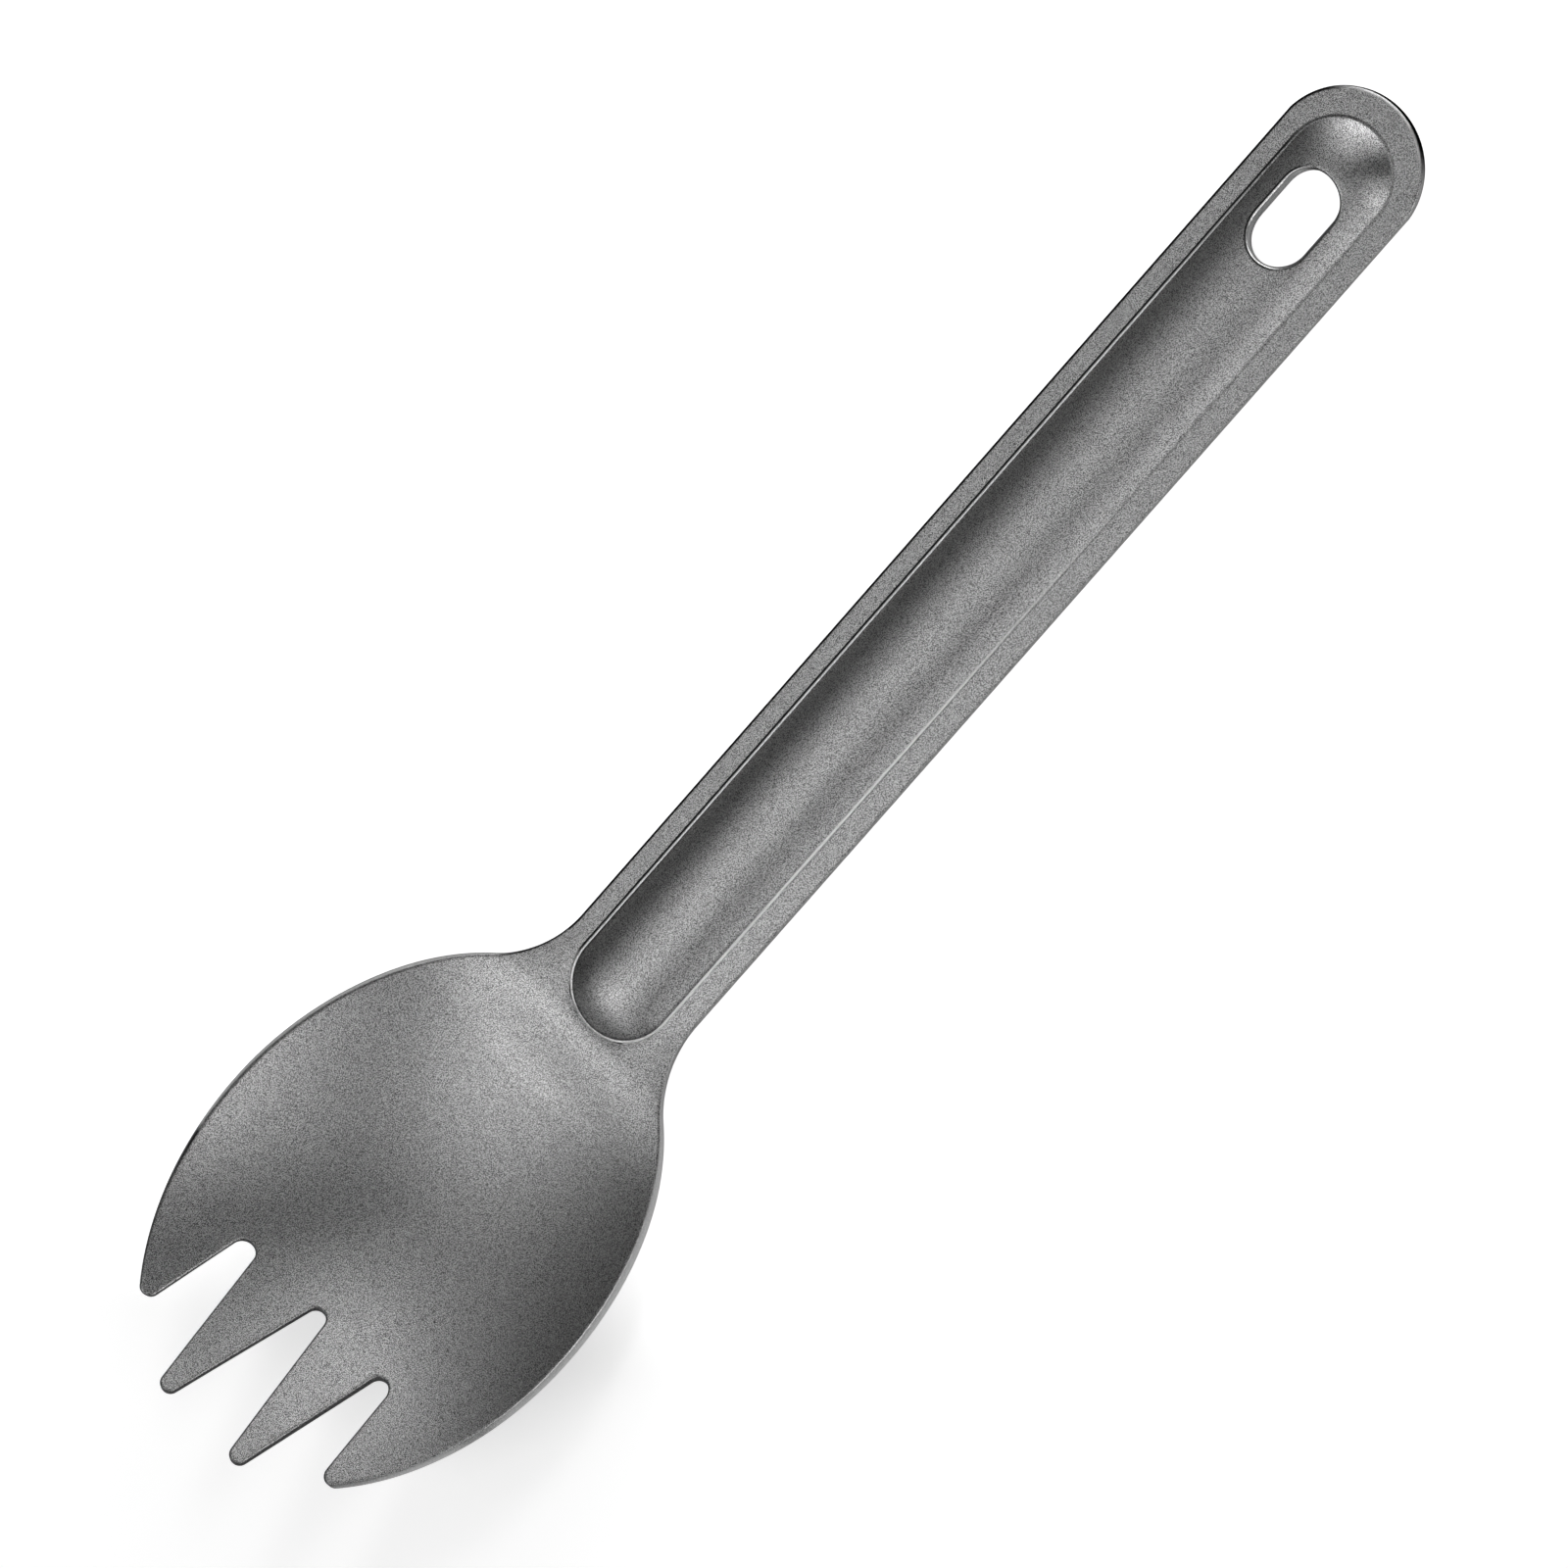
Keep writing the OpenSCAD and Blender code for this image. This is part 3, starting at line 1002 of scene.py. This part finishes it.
def white_paper():
    """Matt white paper sweep: no gloss, no texture that shows at this distance."""
    material, tree = new_material("white_paper")
    path = add(tree, "ShaderNodeLightPath")
    matt = add(tree, "ShaderNodeBsdfDiffuse", Color=linear("#dcdcdc"))
    glow = add(tree, "ShaderNodeEmission", Color=linear("#ffffff"))
    place = add(tree, "ShaderNodeTexCoord").outputs["Object"]
    way = add(tree, "ShaderNodeVectorMath", [(place, 0)], operation="DOT_PRODUCT")
    way.inputs[1].default_value = GLOW_WAY
    along = way.outputs["Value"]
    amount = add(tree, "ShaderNodeMapRange", [(along, "Value")], interpolation_type="SMOOTHSTEP")
    for name, value in (
        ("From Min", GLOW_FROM),
        ("From Max", GLOW_TO),
        ("To Min", BOWL_GLOW),
        ("To Max", HANDLE_GLOW),
    ):
        amount.inputs[name].default_value = value
    strength = add(
        tree,
        "ShaderNodeMath",
        [(path.outputs["Is Camera Ray"], 0), (amount.outputs["Result"], 1)],
        operation="MULTIPLY",
    )
    tree.links.new(strength.outputs[0], glow.inputs["Strength"])
    both = add(tree, "ShaderNodeAddShader", [(matt.outputs[0], 0), (glow.outputs[0], 1)])
    add(tree, "ShaderNodeOutputMaterial", [(both.outputs[0], "Surface")])
    return material


def build_floor():
    deselect_all()
    bpy.ops.mesh.primitive_plane_add(size=FLOOR_SIZE, location=(0, 0, 0))
    floor = bpy.context.active_object
    floor.name = "floor"
    floor.data.materials.append(white_paper())
    return floor


build_floor()


# The softboxes: azimuth and elevation from the object, and the width and height that each
# spans as seen from it, all in degrees, then its power in watts
SOFTBOX_DISTANCE = 1.2
SOFTBOXES = {
    "high_left": (180, 69, 34, 12, 2.55),
    "right_top": (300, 65, 20, 14, 0.36),
    "tail_high": (32, 48, 12, 15, 1.61),
    "back_fill": (81, 49, 22, 47, 0.86),
    "right_high": (282, 45, 14, 22, 1.47),
    "left_mid": (147, 52, 38, 24, 1.72),
    "front_left": (188, 40, 63, 18, 2.54),
    "tail_low": (24, 16, 62, 18, 8.38),
    "right_low": (276, 29, 44, 15, 2.98),
    "tail_left": (60, 28, 20, 14, 0.5),
}
# A little even light from all round, as the room gives
ROOM_LIGHT = 0.02


def softbox(name, azimuth, elevation, width, height, power):
    """A rectangular soft light aimed at the middle of the object."""
    light = bpy.data.lights.new(name, "AREA")
    light.shape = "RECTANGLE"
    light.size = 2 * SOFTBOX_DISTANCE * math.tan(math.radians(width / 2))
    light.size_y = 2 * SOFTBOX_DISTANCE * math.tan(math.radians(height / 2))
    light.energy = power
    obj = bpy.data.objects.new(name, light)
    a, e = math.radians(azimuth), math.radians(elevation)
    away = Vector((math.cos(e) * math.cos(a), math.cos(e) * math.sin(a), math.sin(e)))
    obj.location = away * SOFTBOX_DISTANCE
    obj.rotation_euler = away.to_track_quat("Z", "Y").to_euler()
    bpy.context.scene.collection.objects.link(obj)


def build_lights():
    for name, values in SOFTBOXES.items():
        softbox(name, *values)
    world = bpy.data.worlds.new("room")
    world.use_nodes = True
    background = world.node_tree.nodes["Background"]
    background.inputs["Color"].default_value = (1, 1, 1, 1)
    background.inputs["Strength"].default_value = ROOM_LIGHT
    bpy.context.scene.world = world


build_lights()

# The camera: direction from the object, distance, lens and the point that it is aimed at
VIEW_X = 0.2573
VIEW_Y = -0.249
VIEW_DISTANCE = 1.1
# Millimetres of the object across the picture, at the point that the camera is aimed at
PICTURE_W = 143.82
# Turn of the object's length in the picture, from straight right
PICTURE_TURN = math.radians(48.89)
AIM = Vector((-2.54, 1.54, 1.11)) * MM
SENSOR = 36.0


def build_camera():
    away = Vector((VIEW_X, VIEW_Y, math.sqrt(1 - VIEW_X**2 - VIEW_Y**2)))
    along = (Vector((1, 0, 0)) - VIEW_X * away).normalized()
    across = away.cross(along)
    right = along * math.cos(PICTURE_TURN) - across * math.sin(PICTURE_TURN)
    up = away.cross(right)
    camera = bpy.data.cameras.new("camera")
    camera.sensor_width = SENSOR
    camera.lens = SENSOR * VIEW_DISTANCE / (PICTURE_W * MM)
    camera.clip_end = 10
    obj = bpy.data.objects.new("camera", camera)
    turn = Matrix((right, up, away)).transposed().to_4x4()
    obj.matrix_world = Matrix.Translation(AIM + away * VIEW_DISTANCE) @ turn
    bpy.context.scene.collection.objects.link(obj)
    bpy.context.scene.camera = obj


build_camera()
bpy.context.scene.view_settings.view_transform = "Standard"
